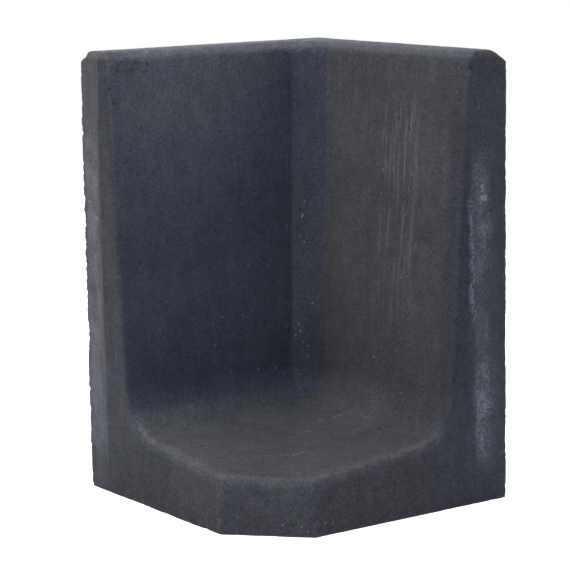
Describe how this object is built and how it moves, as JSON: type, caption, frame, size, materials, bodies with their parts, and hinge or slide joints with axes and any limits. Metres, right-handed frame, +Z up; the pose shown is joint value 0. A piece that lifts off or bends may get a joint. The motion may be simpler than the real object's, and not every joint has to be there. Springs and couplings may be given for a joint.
{
  "type": "concrete corner l-element",
  "caption": "Corner unit for garden edging and low retaining walls: two leaning-faced concrete wings at a right angle on one square foot with its front corner cut off.",
  "frame": {"origin": "middle of the square footprint, on the underside of the foot", "axes": "+Z up; the back wing runs along X on the +Y side, and the left wing runs along Y on the -X side, so the open side and the cut front corner face +X and -Y"},
  "size_m": [0.407, 0.407, 0.6],
  "materials": {
    "concrete": "matte",
    "reinforcing_steel": "matte",
    "tie_wire": "matte",
    "spacer_plastic": "matte"
  },
  "bodies": {
    "root": {"concrete_casting": "concrete", "back_wing_bar_1": "reinforcing_steel", "back_wing_bar_2": "reinforcing_steel", "back_wing_bar_3": "reinforcing_steel", "back_wing_bar_4": "reinforcing_steel", "left_wing_bar_1": "reinforcing_steel", "left_wing_bar_2": "reinforcing_steel", "left_wing_bar_3": "reinforcing_steel", "left_wing_bar_4": "reinforcing_steel", "corner_bar": "reinforcing_steel", "corner_belt_1": "reinforcing_steel", "corner_belt_2": "reinforcing_steel", "corner_belt_3": "reinforcing_steel", "corner_belt_4": "reinforcing_steel", "corner_belt_5": "reinforcing_steel", "foot_edge_bar": "reinforcing_steel", "back_wing_ties": "tie_wire", "left_wing_ties": "tie_wire", "corner_ties": "tie_wire", "foot_ties": "tie_wire", "back_wing_spacers": "spacer_plastic", "left_wing_spacers": "spacer_plastic", "foot_cover_blocks": "spacer_plastic"}
  },
  "joints": []
}
